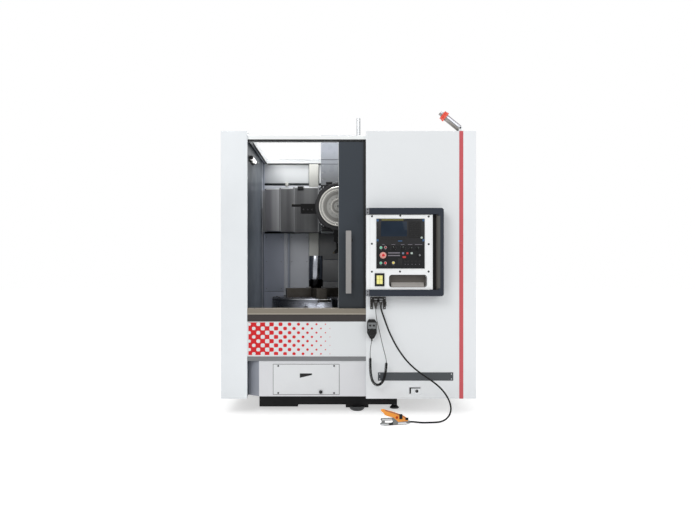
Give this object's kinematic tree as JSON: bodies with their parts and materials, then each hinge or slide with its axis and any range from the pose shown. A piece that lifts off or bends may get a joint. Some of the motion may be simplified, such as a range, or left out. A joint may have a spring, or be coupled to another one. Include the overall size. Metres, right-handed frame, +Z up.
{
  "type": "vertical lathe",
  "caption": "Vertical turning lathe with a sliding door, rotary chuck, ram-mounted turret and swing-out control console.",
  "frame": {"origin": "on the floor, in the middle of the machine's plan", "axes": "+Z up, +X to the operator's right, -Y towards the operator, who faces the door"},
  "size_m": [2.168, 2.2512, 2.75],
  "materials": {
    "white_paint": "satin powder coat",
    "pale_paint": "satin powder coat",
    "slate_paint": "fine textured powder coat",
    "chamber_paint": "satin enamel",
    "black_paint": "textured paint",
    "stripe_red": "gloss enamel",
    "track_bronze": "brushed bronze tone",
    "dot_print": "white enamel with a red dot print",
    "cast_iron": "painted casting with ground ways",
    "stainless": "brushed sheet",
    "machined_steel": "turned and ground",
    "ram_paint": "smooth grey-blue enamel",
    "turret_black": "satin black enamel",
    "blackened_steel": "black oxide",
    "chrome": "polished",
    "aluminium": "satin anodised",
    "window_glass": "laminated clear",
    "console_white": "satin powder coat",
    "console_black": "fine grain membrane",
    "knob_black": "moulded",
    "button_red": "moulded",
    "button_green": "moulded",
    "button_yellow": "moulded",
    "rocker_cream": "moulded",
    "bracket_zinc": "zinc plated",
    "cord_black": "smooth jacket",
    "lamp_red": "clear moulded lens",
    "clamp_orange": "orange enamel"
  },
  "bodies": {
    "root": {"base_casting": "black_paint", "levelling_feet": "black_paint", "column_casting": "cast_iron", "spindle_housing": "cast_iron", "chamber_walls": "chamber_paint", "chip_tray": "stainless", "top_frame": "white_paint", "outer_panels": "white_paint", "left_front_cover": "white_paint", "right_front_cover": "white_paint", "red_stripe": "stripe_red", "door_sill": "track_bronze", "dot_panel": "dot_print", "lower_apron": "pale_paint", "access_cover": "pale_paint", "front_fittings": "machined_steel", "electrical_cabinet": "pale_paint", "socket_bracket": "bracket_zinc", "pendant_frame": "slate_paint", "x_cover_fixed": "stainless", "mpg_body": "knob_black", "mpg_leads": "cord_black", "mpg_curl": "cord_black", "earth_cable": "cord_black", "clamp_lower": "machined_steel"},
    "door": {"door_panel": "slate_paint", "door_window": "window_glass", "door_handle": "aluminium"},
    "console": {"pendant_box": "console_white", "console_panel": "console_black"},
    "estop": {"estop_button": "button_red"},
    "rocker": {"power_rocker": "rocker_cream"},
    "feed_dial": {"feed_knob": "knob_black"},
    "speed_dial": {"speed_knob": "knob_black"},
    "mode_switch": {"mode_knob": "knob_black"},
    "rapid_switch": {"rapid_knob": "knob_black"},
    "lock_switch": {"lock_knob": "knob_black"},
    "start_key": {"start_button": "button_green"},
    "stop_key": {"stop_button": "button_red"},
    "cycle_key": {"cycle_button": "button_green"},
    "hold_key": {"hold_button": "button_red"},
    "lamp_key": {"lamp_button": "button_yellow"},
    "chuck": {"chuck_body": "machined_steel", "workpiece": "chrome"},
    "jaw_slide_1": {"jaw_1": "blackened_steel"},
    "jaw_slide_2": {"jaw_2": "blackened_steel"},
    "jaw_slide_3": {"jaw_3": "blackened_steel"},
    "jaw_slide_4": {"jaw_4": "blackened_steel"},
    "cross_cover": {"x_cover_mid": "stainless"},
    "cross_slide": {"saddle": "cast_iron", "x_cover_inner": "stainless"},
    "ram_slide": {"ram": "ram_paint", "turret_housing": "turret_black"},
    "turret": {"turret_disc": "blackened_steel", "turning_tools": "blackened_steel"},
    "signal": {"signal_lamp": "lamp_red"},
    "handwheel": {"mpg_dial": "knob_black"},
    "axis_switch": {"mpg_axis_knob": "knob_black"},
    "step_switch": {"mpg_step_knob": "knob_black"},
    "clamp_lever": {"clamp_upper": "clamp_orange"}
  },
  "joints": [
    {"name": "door_slide", "type": "slide", "parent": "root", "child": "door", "axis": [-1, 0, 0], "range_m": [0, 0.775]},
    {"name": "console_swing", "type": "hinge", "parent": "root", "child": "console", "pos_m": [0.172, -0.967, 1.38], "axis": [0, 0, -1], "range_deg": [0, 75]},
    {"name": "chuck_spin", "type": "hinge", "parent": "root", "child": "chuck", "pos_m": [-0.297, -0.321, 0.905], "axis": [0, 0, 1], "continuous": true},
    {"name": "jaw_1_slide", "type": "slide", "parent": "chuck", "child": "jaw_slide_1", "axis": [0.9759, 0.2181, 0], "range_m": [0, 0.06]},
    {"name": "jaw_2_slide", "type": "slide", "parent": "chuck", "child": "jaw_slide_2", "axis": [-0.2181, 0.9759, 0], "range_m": [0, 0.06]},
    {"name": "jaw_3_slide", "type": "slide", "parent": "chuck", "child": "jaw_slide_3", "axis": [-0.9759, -0.2181, 0], "range_m": [0, 0.06]},
    {"name": "jaw_4_slide", "type": "slide", "parent": "chuck", "child": "jaw_slide_4", "axis": [0.2181, -0.9759, 0], "range_m": [0, 0.06]},
    {"name": "cross_slide_travel", "type": "slide", "parent": "root", "child": "cross_slide", "axis": [-1, 0, 0], "range_m": [-0.12, 0.27]},
    {"name": "cross_cover_travel", "type": "slide", "parent": "root", "child": "cross_cover", "axis": [-1, 0, 0], "range_m": [-0.06, 0.135]},
    {"name": "ram_travel", "type": "slide", "parent": "cross_slide", "child": "ram_slide", "axis": [0, 0, 1], "range_m": [-0.28, 0.15]},
    {"name": "turret_index", "type": "hinge", "parent": "ram_slide", "child": "turret", "pos_m": [-0.082, -0.306, 1.828], "axis": [0, 1, 0], "continuous": true},
    {"name": "signal_fold", "type": "hinge", "parent": "root", "child": "signal", "pos_m": [0.955, -0.821, 2.448], "axis": [0, 1, 0], "range_deg": [-34, 48]},
    {"name": "estop_press", "type": "slide", "parent": "console", "child": "estop", "axis": [0, 1, 0], "range_m": [0, 0.006], "stiffness_N_per_m": 1500},
    {"name": "power_rock", "type": "hinge", "parent": "console", "child": "rocker", "pos_m": [0.257, -0.985, 1.152], "axis": [1, 0, 0], "range_deg": [-8, 8]},
    {"name": "feed_turn", "type": "hinge", "parent": "console", "child": "feed_dial", "pos_m": [0.3715, -0.985, 1.417], "axis": [0, 1, 0], "range_deg": [-140, 140]},
    {"name": "speed_turn", "type": "hinge", "parent": "console", "child": "speed_dial", "pos_m": [0.45, -0.985, 1.415], "axis": [0, 1, 0], "range_deg": [-140, 140]},
    {"name": "mode_turn", "type": "hinge", "parent": "console", "child": "mode_switch", "pos_m": [0.518, -0.985, 1.41], "axis": [0, 1, 0], "range_deg": [-100, 100]},
    {"name": "rapid_turn", "type": "hinge", "parent": "console", "child": "rapid_switch", "pos_m": [0.575, -0.985, 1.41], "axis": [0, 1, 0], "range_deg": [-60, 60]},
    {"name": "lock_turn", "type": "hinge", "parent": "console", "child": "lock_switch", "pos_m": [0.588, -0.985, 1.355], "axis": [0, 1, 0], "range_deg": [0, 90]},
    {"name": "start_press", "type": "slide", "parent": "console", "child": "start_key", "axis": [0, 1, 0], "range_m": [0, 0.004], "stiffness_N_per_m": 600},
    {"name": "stop_press", "type": "slide", "parent": "console", "child": "stop_key", "axis": [0, 1, 0], "range_m": [0, 0.004], "stiffness_N_per_m": 600},
    {"name": "cycle_press", "type": "slide", "parent": "console", "child": "cycle_key", "axis": [0, 1, 0], "range_m": [0, 0.004], "stiffness_N_per_m": 600},
    {"name": "hold_press", "type": "slide", "parent": "console", "child": "hold_key", "axis": [0, 1, 0], "range_m": [0, 0.004], "stiffness_N_per_m": 600},
    {"name": "lamp_press", "type": "slide", "parent": "console", "child": "lamp_key", "axis": [0, 1, 0], "range_m": [0, 0.004], "stiffness_N_per_m": 600},
    {"name": "handwheel_turn", "type": "hinge", "parent": "root", "child": "handwheel", "pos_m": [0.197, -0.926, 0.708], "axis": [0, 1, 0], "continuous": true},
    {"name": "axis_turn", "type": "hinge", "parent": "root", "child": "axis_switch", "pos_m": [0.181, -0.926, 0.766], "axis": [0, 1, 0], "range_deg": [-60, 60]},
    {"name": "step_turn", "type": "hinge", "parent": "root", "child": "step_switch", "pos_m": [0.213, -0.926, 0.766], "axis": [0, 1, 0], "range_deg": [-45, 45]},
    {"name": "clamp_squeeze", "type": "hinge", "parent": "root", "child": "clamp_lever", "pos_m": [0.3764, -1.19387, 0.0615], "axis": [0.2079, -0.9781, 0], "range_deg": [0, 20], "stiffness_Nm_per_rad": 12, "springref_deg": -11.46}
  ],
  "couplings": [
    {"joint": "jaw_2_slide", "follows": "jaw_1_slide", "ratio": 1},
    {"joint": "jaw_3_slide", "follows": "jaw_1_slide", "ratio": 1},
    {"joint": "jaw_4_slide", "follows": "jaw_1_slide", "ratio": 1},
    {"joint": "cross_cover_travel", "follows": "cross_slide_travel", "ratio": 0.5}
  ]
}
